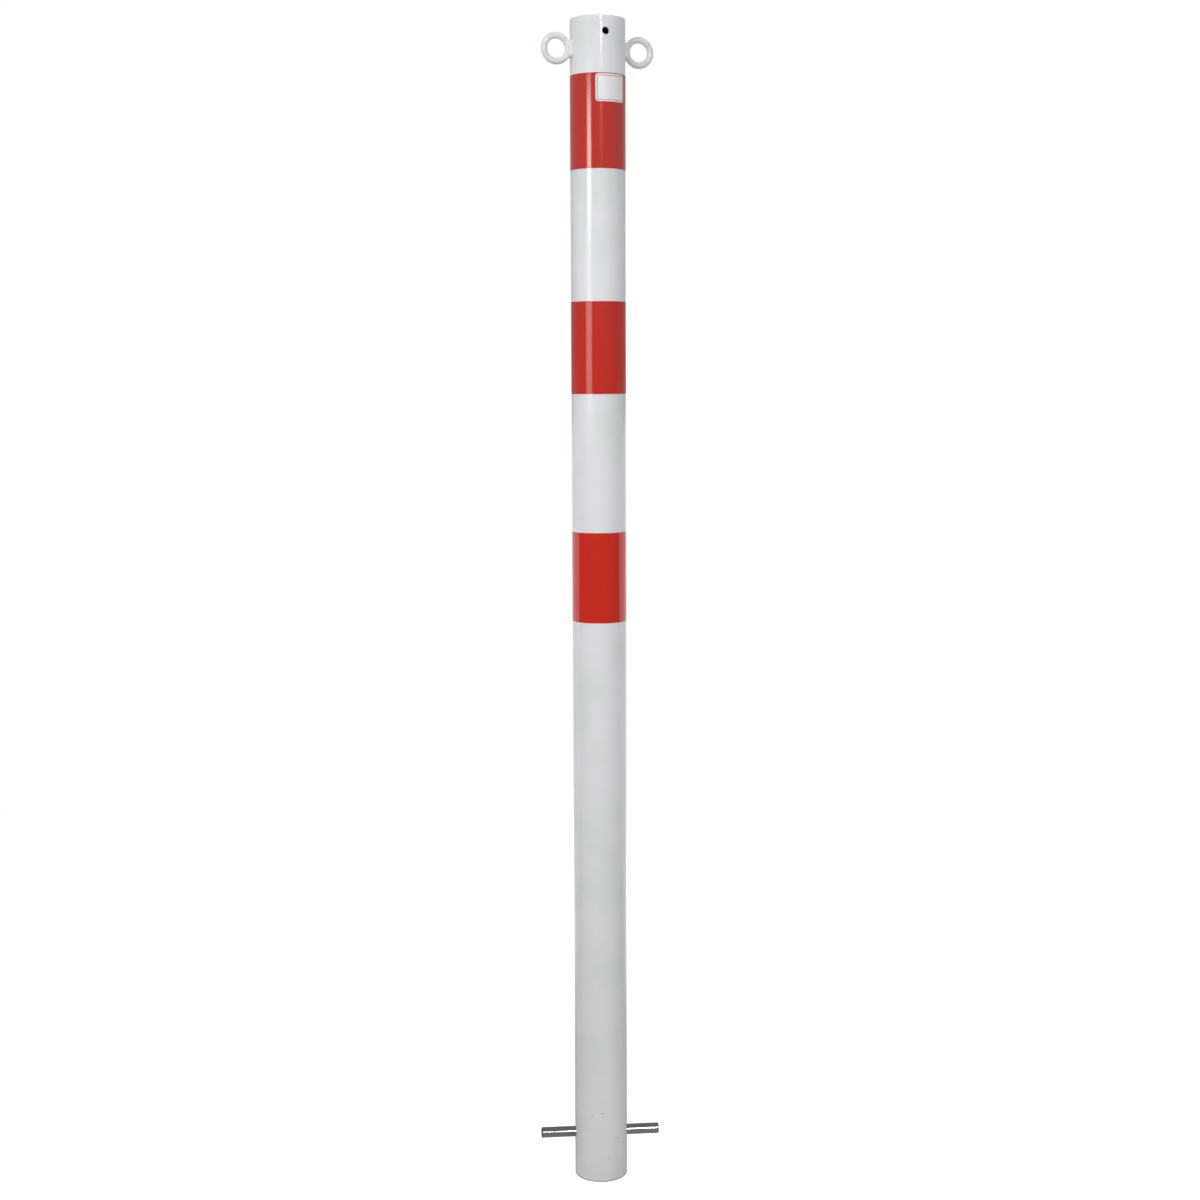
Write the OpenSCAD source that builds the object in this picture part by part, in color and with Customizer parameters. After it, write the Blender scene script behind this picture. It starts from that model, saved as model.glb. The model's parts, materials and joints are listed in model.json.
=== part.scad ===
// Fixed bollard: a steel tube post for setting in concrete.
// Units are millimetres. The foot's centre is the origin and +Z is up.
// The chain eyes stand along X and the vent hole looks towards -Y, the front.

/* [Tube] */
// Height of the whole post, from the foot to the top of the head
post_h = 1300; // [1150:5:1600]
// Outside diameter of the tube
tube_d = 60; // [48:1:90]
// Wall thickness of the tube
tube_wall = 2.5; // [2:0.5:4]
// Chamfer where the foot was sawn and deburred
foot_chamfer = 0.4; // [0.2:0.1:0.8]
// Radius of the rounded weld flash that runs down the inside of the tube
flash_r = 1.6; // [1.2:0.1:2.4]
// Height that the flash stands into the tube
flash_h = 0.9; // [0.4:0.1:1.1]

/* [Head] */
// Thickness of the round plate that closes the head
head_t = 5; // [3:0.5:8]
// Rounding on the upper edge of the plate
head_edge_r = 0.8; // [0.3:0.1:1.2]
// Leg of the weld bevel on the tube and on the plate
bevel = 1.5; // [1:0.1:1.7]
// Height that the ground weld still stands proud of the tube
head_weld_crown = 0.2; // [0.1:0.05:0.4]

/* [Vent hole] */
// Diameter of the vent hole
vent_d = 8; // [5:0.5:12]
// Distance of its centre below the top of the head
vent_drop = 16.5; // [14.5:0.5:30]
// Turn of the hole from the front, towards the left eye
vent_turn = 2.5; // [-20:0.5:20]

/* [Chain eyes] */
// Clear diameter inside each eye
eye_hole_d = 20; // [14:1:28]
// Diameter of the round bar that the eyes are bent from
eye_bar_d = 7; // [6:0.5:10]
// Distance of the eyes' centres below the top of the head
eye_drop = 32.5; // [28:0.5:42]
// Root gap between each eye and the tube, which the weld fills
eye_gap = 0.2; // [0.1:0.05:0.4]

/* [Eye welds] */
// Radius of one ripple of the weld
ripple_r = 4.5; // [4.2:0.1:5]
// Number of ripples on each side of the eye
ripples = 5; // [3:1:7]
// Angle of the eye that the weld reaches along
weld_sweep = 36; // [24:2:48]
// Distance of the ripples' centres out from the wall of the tube
weld_out = 0.55; // [0.3:0.05:1]
// Distance of the ripples' centres in from the flank of the bar
weld_in = 0.8; // [0.5:0.1:1.2]

/* [Red bands] */
// Height of each red band
band_h = 100; // [80:5:120]
// Thickness of the red film
film_t = 0.3; // [0.2:0.05:0.5]
// Height of the white field above the top band
white_top_h = 60; // [55:1:90]
// Height of the white field between the top and middle bands
white_upper_h = 141; // [100:1:180]
// Height of the white field between the middle and bottom bands
white_lower_h = 152; // [100:1:180]
// Length by which the film's end laps over its start
film_lap = 16; // [8:1:20]
// Turn of the lap round the back, from the right eye
lap_turn = 44; // [30:1:48]

/* [Label] */
// Width of the blank label, measured round the post
label_w = 36; // [24:1:42]
// Height of the label
label_h = 29; // [20:1:40]
// Radius of the label's corners
label_corner_r = 3; // [1:0.5:6]
// Thickness of the label
label_t = 0.2; // [0.1:0.05:0.4]
// Distance of the label below the upper edge of the top band
label_margin = 1; // [0.5:0.5:20]
// Turn of the label from the front, towards the right eye
label_turn = 10; // [-40:1:40]

/* [Anchor rod] */
// Diameter of the loose rod that crosses the foot
rod_d = 12; // [8:1:16]
// Length of the rod
rod_l = 136; // [110:1:200]
// Height of the rod's axis above the foot
rod_height = 50; // [30:1:90]
// Turn of the rod from the line of the eyes
rod_turn = -14; // [-45:1:45]
// Shift of the rod along its own axis
rod_shift = -1.25; // [-10:0.25:10]
// Gap between the rod and its holes, all round
rod_clearance = 0.25; // [0.1:0.05:0.5]
// Chamfer on the rod's cut ends
rod_chamfer = 0.5; // [0.3:0.1:1]

/* [Hidden] */
$fn = 96;
// Cutters run this far past the faces that they open.
past = 1;
coat_colour = [0.87, 0.89, 0.90];
film_colour = [0.78, 0.13, 0.10];
label_colour = [0.95, 0.95, 0.95];
rod_colour = [0.55, 0.55, 0.54];

tube_r = tube_d / 2;
inner_r = tube_r - tube_wall;
tube_h = post_h - head_t;
film_r = tube_r + film_t;
eye_r = (eye_hole_d + eye_bar_d) / 2;
eye_x = tube_r + eye_gap + eye_bar_d + eye_hole_d / 2;
eye_z = post_h - eye_drop;
top_band_z = post_h - white_top_h - band_h;
middle_band_z = top_band_z - white_upper_h - band_h;
bottom_band_z = middle_band_z - white_lower_h - band_h;

// Angle of an arc of a given length
function arc_angle(length, r) = length / r * 180 / PI;

// Tube

// The hollow stops short of the weld flash, which stays on the back wall.
module tube_hollow() {
    difference() {
        translate([0, 0, -past])
            cylinder(r = inner_r, h = tube_h + 2 * past);
        translate([0, inner_r - flash_h + flash_r, -2 * past])
            cylinder(r = flash_r, h = tube_h + 4 * past);
    }
}

// The vent hole goes through the front wall only.
module vent_cut() {
    rotate([0, 0, -vent_turn])
        translate([0, -tube_r - past, post_h - vent_drop])
        rotate([-90, 0, 0])
        cylinder(d = vent_d, h = tube_wall + 2 * past);
}

module rod_place() {
    translate([0, 0, rod_height])
        rotate([0, 0, rod_turn])
        rotate([0, 90, 0])
        children();
}

module post_tube() {
    outline = [
        [0, 0],
        [tube_r - foot_chamfer, 0],
        [tube_r, foot_chamfer],
        [tube_r, tube_h - bevel],
        [tube_r - bevel, tube_h],
        [0, tube_h],
    ];
    color(coat_colour)
        difference() {
            rotate_extrude()
                polygon(outline);
            tube_hollow();
            vent_cut();
            rod_place()
                cylinder(d = rod_d + 2 * rod_clearance, h = tube_d + 2 * past, center = true);
        }
}

// Head

module head_plate() {
    color(coat_colour)
        translate([0, 0, tube_h])
        rotate_extrude()
        difference() {
            union() {
                square([tube_r - head_edge_r, head_t]);
                square([tube_r, head_t - head_edge_r]);
                translate([tube_r - head_edge_r, head_t - head_edge_r])
                    circle(r = head_edge_r);
            }
            polygon([
                [tube_r - bevel, 0],
                [tube_r + past, bevel + past],
                [tube_r + past, -past],
                [tube_r - bevel, -past],
            ]);
        }
}

// The weld fills the groove between the two bevels, and its ground face is a shallow arc.
module head_weld() {
    arc_r = (pow(bevel, 2) + pow(head_weld_crown, 2)) / (2 * head_weld_crown);
    reach = bevel + 2 * head_weld_crown;
    color(coat_colour)
        translate([0, 0, tube_h])
        rotate_extrude()
        intersection() {
            polygon([
                [tube_r - bevel, 0],
                [tube_r - bevel + reach, -reach],
                [tube_r - bevel + reach, reach],
            ]);
            translate([tube_r + head_weld_crown - arc_r, 0])
                circle(r = arc_r);
        }
}

// Chain eyes and their welds, drawn on the right and turned round for the left

module chain_eye() {
    translate([eye_x, 0, eye_z])
        rotate([90, 0, 0])
        rotate_extrude()
        translate([eye_r, 0])
        circle(d = eye_bar_d);
}

// The ripples follow the eye along both of its flanks. The tube and the bar are cut
// out of them, which leaves one saddle that fills the corner all round the contact.
module eye_weld() {
    line_r = eye_x - tube_r - weld_out;
    line_y = eye_bar_d / 2 - weld_in;
    difference() {
        for (flank = [-1, 1])
            for (i = [0 : ripples - 1]) {
                lift = weld_sweep * (i / (ripples - 1) - 0.5);
                translate([eye_x - line_r * cos(lift), flank * line_y, eye_z + line_r * sin(lift)])
                    sphere(r = ripple_r);
            }
        translate([0, 0, eye_z - eye_r - ripple_r])
            cylinder(r = tube_r, h = 2 * (eye_r + ripple_r));
        chain_eye();
    }
}

module chain_eye_left() {
    color(coat_colour)
        rotate([0, 0, 180])
        chain_eye();
}

module chain_eye_right() {
    color(coat_colour)
        chain_eye();
}

module eye_weld_left() {
    color(coat_colour)
        rotate([0, 0, 180])
        eye_weld();
}

module eye_weld_right() {
    color(coat_colour)
        eye_weld();
}

// Red bands

// One strip of film goes right round the tube, and its end laps over its start.
module red_band(z) {
    // The lap is rooted inside the film, so the two layers are one solid.
    lap_root_r = film_r - film_t / 2;
    color(film_colour)
        translate([0, 0, z]) {
            difference() {
                cylinder(r = film_r, h = band_h);
                translate([0, 0, -past])
                    cylinder(r = tube_r, h = band_h + 2 * past);
            }
            rotate([0, 0, lap_turn])
                rotate_extrude(angle = arc_angle(film_lap, film_r))
                translate([lap_root_r, 0])
                square([film_r + film_t - lap_root_r, band_h]);
        }
}

module red_band_top() {
    red_band(top_band_z);
}

module red_band_middle() {
    red_band(middle_band_z);
}

module red_band_bottom() {
    red_band(bottom_band_z);
}

// Label

module rounded_rectangle(w, h, r) {
    square([w - 2 * r, h], center = true);
    square([w, h - 2 * r], center = true);
    for (x = [-1, 1])
        for (y = [-1, 1])
            translate([x * (w / 2 - r), y * (h / 2 - r)])
                circle(r = r);
}

// A straight cut through a thin shell round the band gives the label its outline.
module blank_label() {
    label_z = top_band_z + band_h - label_margin - label_h / 2;
    flat_w = 2 * film_r * sin(arc_angle(label_w / 2, film_r));
    color(label_colour)
        rotate([0, 0, label_turn])
        translate([0, 0, label_z])
        intersection() {
            difference() {
                cylinder(r = film_r + label_t, h = label_h + 2 * past, center = true);
                cylinder(r = film_r, h = label_h + 4 * past, center = true);
            }
            rotate([90, 0, 0])
                linear_extrude(height = tube_r + film_t + label_t + past)
                rounded_rectangle(flat_w, label_h, label_corner_r);
        }
}

// Anchor rod

module anchor_rod() {
    outline = [
        [0, 0],
        [rod_d / 2 - rod_chamfer, 0],
        [rod_d / 2, rod_chamfer],
        [rod_d / 2, rod_l - rod_chamfer],
        [rod_d / 2 - rod_chamfer, rod_l],
        [0, rod_l],
    ];
    color(rod_colour)
        rod_place()
        translate([0, 0, rod_shift - rod_l / 2])
        rotate_extrude()
        polygon(outline);
}

post_tube();
head_plate();
head_weld();
chain_eye_left();
chain_eye_right();
eye_weld_left();
eye_weld_right();
red_band_top();
red_band_middle();
red_band_bottom();
blank_label();
anchor_rod();
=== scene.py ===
# Fixed bollard: a slim white steel post with red film bands, two chain eyes and a loose anchor rod.
# Everything is in metres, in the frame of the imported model: Z up the post, the front towards -Y.
import json
import math

import bpy
from mathutils import Euler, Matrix, Quaternion, Vector, noise


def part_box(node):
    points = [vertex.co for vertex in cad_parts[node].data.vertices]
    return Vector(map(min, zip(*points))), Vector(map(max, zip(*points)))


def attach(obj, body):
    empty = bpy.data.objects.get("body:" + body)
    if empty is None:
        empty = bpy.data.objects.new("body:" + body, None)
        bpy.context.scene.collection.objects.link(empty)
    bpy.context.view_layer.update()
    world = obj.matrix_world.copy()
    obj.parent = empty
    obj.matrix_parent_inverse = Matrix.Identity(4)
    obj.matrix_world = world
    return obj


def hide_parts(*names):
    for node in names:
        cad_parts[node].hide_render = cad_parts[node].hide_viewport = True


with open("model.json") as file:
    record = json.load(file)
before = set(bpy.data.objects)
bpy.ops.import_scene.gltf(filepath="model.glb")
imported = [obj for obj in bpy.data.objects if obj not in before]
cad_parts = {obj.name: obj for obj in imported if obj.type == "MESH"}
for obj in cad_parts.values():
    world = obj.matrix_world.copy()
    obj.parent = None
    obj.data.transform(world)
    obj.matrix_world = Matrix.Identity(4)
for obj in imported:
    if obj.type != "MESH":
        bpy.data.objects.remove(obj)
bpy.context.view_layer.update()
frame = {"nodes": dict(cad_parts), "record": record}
nodes = frame["nodes"]
scene = bpy.context.scene
print("frame loaded with", len(nodes), "nodes")


# Node trees are written with these: a socket given as an input is linked, anything else is set
def addNode(tree, kind, at, inputs=None, **settings):
    node = tree.nodes.new(kind)
    node.location = at
    for name, value in settings.items():
        setattr(node, name, value)
    for name, value in (inputs or {}).items():
        if isinstance(value, bpy.types.NodeSocket):
            tree.links.new(value, node.inputs[name])
        else:
            node.inputs[name].default_value = value
    return node


def addMath(tree, operation, at, *values):
    return addNode(tree, "ShaderNodeMath", at, dict(enumerate(values)), operation=operation).outputs[0]


def addRamp(tree, at, value, low, high, start=0.0, end=1.0, smooth=True):
    inputs = {"Value": value, "From Min": low, "From Max": high, "To Min": start, "To Max": end}
    kind = "SMOOTHSTEP" if smooth else "LINEAR"
    return addNode(tree, "ShaderNodeMapRange", at, inputs, interpolation_type=kind).outputs["Result"]


def addMix(tree, at, factor, first, second):
    node = addNode(tree, "ShaderNodeMix", at, {0: factor, 6: first, 7: second}, data_type="RGBA")
    return node.outputs[2]


def addCombine(tree, at, x=0.0, y=0.0, z=0.0):
    return addNode(tree, "ShaderNodeCombineXYZ", at, {"X": x, "Y": y, "Z": z}).outputs[0]


def addSeparate(tree, at, vector):
    return addNode(tree, "ShaderNodeSeparateXYZ", at, {0: vector}).outputs


def addLength(tree, at, vector):
    return addNode(tree, "ShaderNodeVectorMath", at, {0: vector}, operation="LENGTH").outputs["Value"]


def addSockets(tree, inputs, outputs):
    for name, (kind, value) in inputs.items():
        socket = tree.interface.new_socket(name, in_out="INPUT", socket_type=kind)
        if value is not None:
            socket.default_value = value
    for name, kind in outputs.items():
        tree.interface.new_socket(name, in_out="OUTPUT", socket_type=kind)
    return tree.nodes.new("NodeGroupInput").outputs, tree.nodes.new("NodeGroupOutput").inputs


def addGroup(tree, group, at, inputs):
    return addNode(tree, "ShaderNodeGroup", at, inputs, node_tree=group).outputs


# The camera stands left of the front, level with the upper bands, and looks slightly down
camera = {
    "azimuth": -19.4,
    "distance": 2.041,
    "height": 0.9176,
    "pitch": -6.93,
    "roll": -0.19,
    "lens": 55.08,
    "shiftX": 0.00054,
}


def makeCamera(p):
    data = bpy.data.cameras.new("camera")
    data.lens = p["lens"]
    data.shift_x = p["shiftX"]
    data.clip_start = 0.01
    data.clip_end = 100
    cam = bpy.data.objects.new("camera", data)
    turn = math.radians(p["azimuth"])
    cam.location = (p["distance"] * math.sin(turn), -p["distance"] * math.cos(turn), p["height"])
    cam.rotation_mode = "QUATERNION"
    look = Euler((math.radians(90 + p["pitch"]), 0, turn)).to_quaternion()
    cam.rotation_quaternion = look @ Quaternion((0, 0, 1), math.radians(p["roll"]))
    scene.collection.objects.link(cam)
    scene.camera = cam


makeCamera(camera)
print("camera placed")


# A pale studio: the camera sees white all round, and a reflection sees the white sweep behind the post
# and the dimmer room in front of it. "behind" points away from the camera.
studio = {
    "ambient": 0.415,
    "tint": (0.985, 1.0, 1.015, 1.0),
    "behind": (0.332, 0.943, 0.0),
    "sweepSide": (0.88, 1.0),
    "sweepTop": (0.02, 0.22),
    "wallRise": (-0.02, 0.16),
    "ceilingRise": (0.22, 0.42),
    "roomLow": 0.31,
    "roomHigh": 0.54,
    "roomTop": 0.28,
    "floorSize": 60.0,
    "floorSide": (0.1, 1.0),
    # painted light: the floor is made lighter around the foot, lifting the post's shadow there
    "floorFootLight": 0.30,
    "footLightReach": (0.12, 0.32),
    "floorNear": 0.28,
    "floorFar": 0.80,
    "floorReach": (0.1, 1.6),
    "floorMirrored": 0.48,
    "floorGlow": 0.80,
    "floorFade": (0.5, 2.2),
}


# 1 where a ray sees the white sweep: every camera ray, and a sharp ray that goes behind the post
def seenWhite(tree, at, place, side, share=1.0):
    x, y = at
    behind = addNode(tree, "ShaderNodeVectorMath", (x, y + 200), {
        0: place, 1: studio["behind"]}, operation="DOT_PRODUCT").outputs["Value"]
    back = addRamp(tree, (x + 200, y + 200), behind, *side)
    back = addMath(tree, "MULTIPLY", (x + 400, y + 200), back, share)
    path = addNode(tree, "ShaderNodeLightPath", (x, y)).outputs
    sharp = addMath(tree, "MAXIMUM", (x + 200, y), path["Is Glossy Ray"], path["Is Transmission Ray"])
    sweep = addMath(tree, "MULTIPLY", (x + 400, y + 100), sharp, back)
    return addMath(tree, "MAXIMUM", (x + 600, y), path["Is Camera Ray"], sweep), sharp


def makeWorld(p):
    world = bpy.data.worlds.new("studioWorld")
    world.use_nodes = True
    tree = world.node_tree
    tree.nodes.clear()
    direction = addNode(tree, "ShaderNodeTexCoord", (-1400, 0)).outputs["Generated"]
    height = addSeparate(tree, (-1400, -300), direction)["Z"]
    share = addRamp(tree, (-1200, -300), height, *p["sweepTop"], 1.0, 0.0)
    seen, sharp = seenWhite(tree, (-1000, 0), direction, p["sweepSide"], share)
    wall = addRamp(tree, (-800, -300), height, *p["wallRise"], p["roomLow"], p["roomHigh"])
    ceiling = addRamp(tree, (-800, -600), height, *p["ceilingRise"])
    room = addNode(tree, "ShaderNodeMix", (-650, -400), {0: ceiling, 2: wall, 3: p["roomTop"]}).outputs[0]
    sharpRoom = addMath(tree, "MULTIPLY", (-500, -300), sharp, room)
    softRoom = addRamp(tree, (-500, -500), sharp, 0, 1, p["ambient"], 0.0, smooth=False)
    dim = addMath(tree, "ADD", (-300, -300), sharpRoom, softRoom)
    strength = addMath(tree, "MAXIMUM", (-100, -100), dim, seen)
    color = addMix(tree, (-100, 200), seen, p["tint"], (1, 1, 1, 1))
    back = addNode(tree, "ShaderNodeBackground", (100, 0), {"Color": color, "Strength": strength})
    addNode(tree, "ShaderNodeOutputWorld", (300, 0), {"Surface": back.outputs[0]})
    scene.world = world


def makeFloor(p):
    half = p["floorSize"] / 2
    corners = [(-half, -half, 0), (half, -half, 0), (half, half, 0), (-half, half, 0)]
    mesh = bpy.data.meshes.new("studioFloor")
    mesh.from_pydata(corners, [], [(0, 1, 2, 3)])
    floor = bpy.data.objects.new("studioFloor", mesh)
    scene.collection.objects.link(floor)
    material = bpy.data.materials.new("studioFloor")
    material.use_nodes = True
    tree = material.node_tree
    tree.nodes.clear()
    coords = addNode(tree, "ShaderNodeTexCoord", (-1400, 300)).outputs["Object"]
    length = addLength(tree, (-1000, 500), coords)
    far = addRamp(tree, (-800, 500), length, *p["floorFade"])
    seen, sharp = seenWhite(tree, (-1200, 0), coords, p["floorSide"])
    soft = addRamp(tree, (-800, 300), length, *p["floorReach"], p["floorNear"], p["floorFar"])
    # painted light: a lighter floor tone close to the foot lifts the post's shadow
    foot = addRamp(tree, (-800, 150), length, *p["footLightReach"], p["floorFootLight"], 0.0)
    soft = addMath(tree, "ADD", (-600, 300), soft, foot)
    tone = addNode(tree, "ShaderNodeMix", (-400, 300), {0: sharp, 2: soft, 3: p["floorMirrored"]}).outputs[0]
    paint = addNode(tree, "ShaderNodeBsdfDiffuse", (-200, 200), {"Color": tone}).outputs[0]
    glow = addMath(tree, "MULTIPLY", (-400, 0), seen, p["floorGlow"])
    shine = addNode(tree, "ShaderNodeEmission", (-200, 0), {"Strength": glow}).outputs[0]
    near = addNode(tree, "ShaderNodeAddShader", (0, 100), {0: paint, 1: shine}).outputs[0]
    white = addNode(tree, "ShaderNodeEmission", (0, -100), {"Strength": 1.0}).outputs[0]
    hide = addMath(tree, "MULTIPLY", (0, 300), seen, far)
    mixed = addNode(tree, "ShaderNodeMixShader", (200, 100), {0: hide, 1: near, 2: white}).outputs[0]
    addNode(tree, "ShaderNodeOutputMaterial", (400, 100), {"Surface": mixed})
    mesh.materials.append(material)


makeWorld(studio)
makeFloor(studio)

# Each lamp is a flat panel that faces the post. Its azimuth is counted from the camera, left is negative.
# A lamp with an aim is tipped towards that height on the post and spreads less.
lamps = {
    "softboxLeft": {
        "azimuth": -36.6, "distance": 2.5, "low": 1.28, "high": 1.60, "width": 0.72, "radiance": 7.7},
    "softboxLeftLow": {
        "azimuth": -40, "distance": 2.52, "low": 0.80, "high": 1.28, "width": 1.05, "radiance": 2.3},
    "stripRight": {
        "azimuth": 14, "distance": 6.0, "low": 2.40, "high": 4.10, "width": 0.62, "radiance": 1.5,
        "aim": 1.0},
    "highLeft": {
        "azimuth": -37, "distance": 3.2, "low": 2.1, "high": 3.4, "width": 1.4, "radiance": 0.44,
        "aim": 1.0, "mirrored": False},
    "highRight": {
        "azimuth": 46, "distance": 3.2, "low": 2.1, "high": 3.4, "width": 1.2, "radiance": 0.10,
        "aim": 1.0},
    "fillRightLow": {
        "azimuth": 52, "distance": 3.0, "low": 0.1, "high": 0.5, "width": 1.0, "radiance": 0.22,
        "aim": 0.2, "mirrored": False},
    "softBack": {
        "azimuth": 180, "distance": 3.0, "low": 1.6, "high": 3.6, "width": 2.4, "radiance": 4.0,
        "mirrored": False},
}
lampSpread = 40


def makeLamp(name, p):
    data = bpy.data.lights.new(name, "AREA")
    data.shape = "RECTANGLE"
    data.size = p["width"]
    data.size_y = p["high"] - p["low"]
    data.energy = p["radiance"] * math.pi * data.size * data.size_y
    lamp = bpy.data.objects.new(name, data)
    turn = math.radians(camera["azimuth"] + p["azimuth"])
    middle = (p["low"] + p["high"]) / 2
    lamp.location = (p["distance"] * math.sin(turn), -p["distance"] * math.cos(turn), middle)
    dip = 0
    if "aim" in p:
        dip = math.atan2(middle - p["aim"], p["distance"])
        data.spread = math.radians(lampSpread)
    lamp.rotation_euler = (math.radians(90) - dip, 0, turn)
    lamp.visible_camera = False
    lamp.visible_glossy = p.get("mirrored", True)
    scene.collection.objects.link(lamp)


for lampName, lampValues in lamps.items():
    makeLamp(lampName, lampValues)
print("studio lit by", len(lamps), "lamps")

scene.view_settings.view_transform = "Standard"


# Lumps of an orange peel skin: fine ones on wider ones
def orangePeelGroup():
    wideShare = 0.22
    group = bpy.data.node_groups.new("orangePeel", "ShaderNodeTree")
    given, made = addSockets(group, {
        "Vector": ("NodeSocketVector", None),
        "Size": ("NodeSocketFloat", 0.0015),
        "Depth": ("NodeSocketFloat", 1.0),
    }, {"Height": "NodeSocketFloat"})
    scale = addMath(group, "DIVIDE", (-600, 0), 1.0, given["Size"])
    fine = addNode(group, "ShaderNodeTexNoise", (-400, 100), {
        "Vector": given["Vector"], "Scale": scale, "Detail": 2.0})
    wideScale = addMath(group, "MULTIPLY", (-600, -200), scale, wideShare)
    wide = addNode(group, "ShaderNodeTexNoise", (-400, -200), {
        "Vector": given["Vector"], "Scale": wideScale, "Detail": 1.0})
    summed = addMath(group, "ADD", (-200, 0), fine.outputs[0], wide.outputs[0])
    group.links.new(addMath(group, "MULTIPLY", (0, 0), summed, given["Depth"]), made["Height"])
    return group


# Round specks of many sizes: the amount is the share of cells that hold one
def specksGroup():
    largest = 0.10
    group = bpy.data.node_groups.new("specks", "ShaderNodeTree")
    given, made = addSockets(group, {
        "Vector": ("NodeSocketVector", None),
        "Spacing": ("NodeSocketFloat", 0.012),
        "Amount": ("NodeSocketFloat", 0.3),
    }, {"Mask": "NodeSocketFloat"})
    scale = addMath(group, "DIVIDE", (-800, 0), 1.0, given["Spacing"])
    cells = addNode(group, "ShaderNodeTexVoronoi", (-600, 0), {"Vector": given["Vector"], "Scale": scale})
    shade = addNode(group, "ShaderNodeSeparateColor", (-400, -150), {"Color": cells.outputs["Color"]})
    bare = addMath(group, "SUBTRACT", (-400, -300), 1.0, given["Amount"])
    reach = addRamp(group, (-200, -150), shade.outputs[0], bare, 1.0, 0.0, largest)
    inside = addMath(group, "LESS_THAN", (0, 0), cells.outputs["Distance"], reach)
    group.links.new(inside, made["Mask"])
    return group


# Cloudy patches of haze or grime: the amount lowers the edge that the noise has to pass
def smudgeGroup():
    edgeAtNone = 0.78
    edgeDrop = 0.3
    softness = 0.16
    group = bpy.data.node_groups.new("smudges", "ShaderNodeTree")
    given, made = addSockets(group, {
        "Vector": ("NodeSocketVector", None),
        "Size": ("NodeSocketFloat", 0.02),
        "Amount": ("NodeSocketFloat", 0.4),
    }, {"Mask": "NodeSocketFloat"})
    scale = addMath(group, "DIVIDE", (-800, 0), 1.0, given["Size"])
    wide = addNode(group, "ShaderNodeTexNoise", (-600, 0), {
        "Vector": given["Vector"], "Scale": scale, "Detail": 5.0, "Roughness": 0.62, "Distortion": 0.6})
    drop = addMath(group, "MULTIPLY", (-800, -300), given["Amount"], edgeDrop)
    edge = addMath(group, "SUBTRACT", (-600, -300), edgeAtNone, drop)
    end = addMath(group, "ADD", (-450, -300), edge, softness)
    mask = addRamp(group, (-300, 0), wide.outputs[0], edge, end)
    group.links.new(mask, made["Mask"])
    return group


orangePeel = orangePeelGroup()
specks = specksGroup()
smudges = smudgeGroup()
noiseSpan = (0.3, 0.7)  # nearly all of a noise lies between these


def newMaterial(name):
    material = bpy.data.materials.new(name)
    material.use_nodes = True
    tree = material.node_tree
    tree.nodes.clear()
    coords = addNode(tree, "ShaderNodeTexCoord", (-1800, 0)).outputs["Object"]
    return material, tree, coords


def finishMaterial(tree, inputs):
    surface = addNode(tree, "ShaderNodeBsdfPrincipled", (300, 0), inputs)
    addNode(tree, "ShaderNodeOutputMaterial", (600, 0), {"Surface": surface.outputs[0]})


def addSpecks(tree, at, coords, spacing, amount):
    return addGroup(tree, specks, at, {"Vector": coords, "Spacing": spacing, "Amount": amount})["Mask"]


def addSmudges(tree, at, coords, size, amount):
    return addGroup(tree, smudges, at, {"Vector": coords, "Size": size, "Amount": amount})["Mask"]


# The bump of a finish is its orange peel: lumps of the given size and height, in metres
def addPeel(tree, coords, size, depth):
    lumps = addGroup(tree, orangePeel, (-600, -500), {"Vector": coords, "Size": size, "Depth": depth})
    bump = addNode(tree, "ShaderNodeBump", (0, -400), {
        "Height": lumps["Height"], "Distance": 1.0, "Strength": 1.0})
    return bump.outputs[0]


coat = {
    "tone": (0.772, 0.785, 0.802, 1),
    "drift": (0.725, 0.742, 0.750, 1),
    "driftScale": 14.0,
    "driftFrom": (0.42, 0.70),
    "roughness": 0.08,
    "peelSize": 0.0024,
    "peelDepth": 0.00004,
    "dirtReach": 0.45,
    "dirtHigh": 0.12,
    "grime": (0.56, 0.54, 0.50, 1),
    "grimeSize": 0.016,
    "grimeAmount": 0.7,
    "grimeShare": 0.16,
    "dust": (0.42, 0.40, 0.37, 1),
    "speckSpacing": 0.012,
    "speckAmount": 0.16,
    "speckShare": 0.5,
    "markRoughness": 0.3,
    "wallRadius": 0.030,
    "scuffScale": 900.0,
    "scuffRag": 0.45,
    "scuffEdge": (0.55, 1.25),
    "rimDarkening": 0.9,
    "rimHeight": 0.0032,
    "rimRag": 0.0015,
    "rawSteel": (0.60, 0.61, 0.60, 1),
    "rawMetal": 0.25,
    "rawRoughness": 0.5,
    "boreRadius": 0.02765,
    "plateUnderside": 1.2952,
}
# Marks of handling near the foot: turn from +X in degrees, height, half width, half height, slope, strength
scuffs = (
    (-105.8, 0.0817, 0.0021, 0.0007, 0.25, 0.85),
    (-128.0, 0.0775, 0.0020, 0.0013, 0.0, 0.30),
    (-116.7, 0.0864, 0.0028, 0.0010, 0.0, 0.22),
    (-75.6, 0.0470, 0.0012, 0.0050, 0.1, 0.16),
    (62.0, 0.1310, 0.0030, 0.0009, -0.3, 0.45),
    (148.0, 0.3480, 0.0010, 0.0060, 0.1, 0.30),
)


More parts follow.
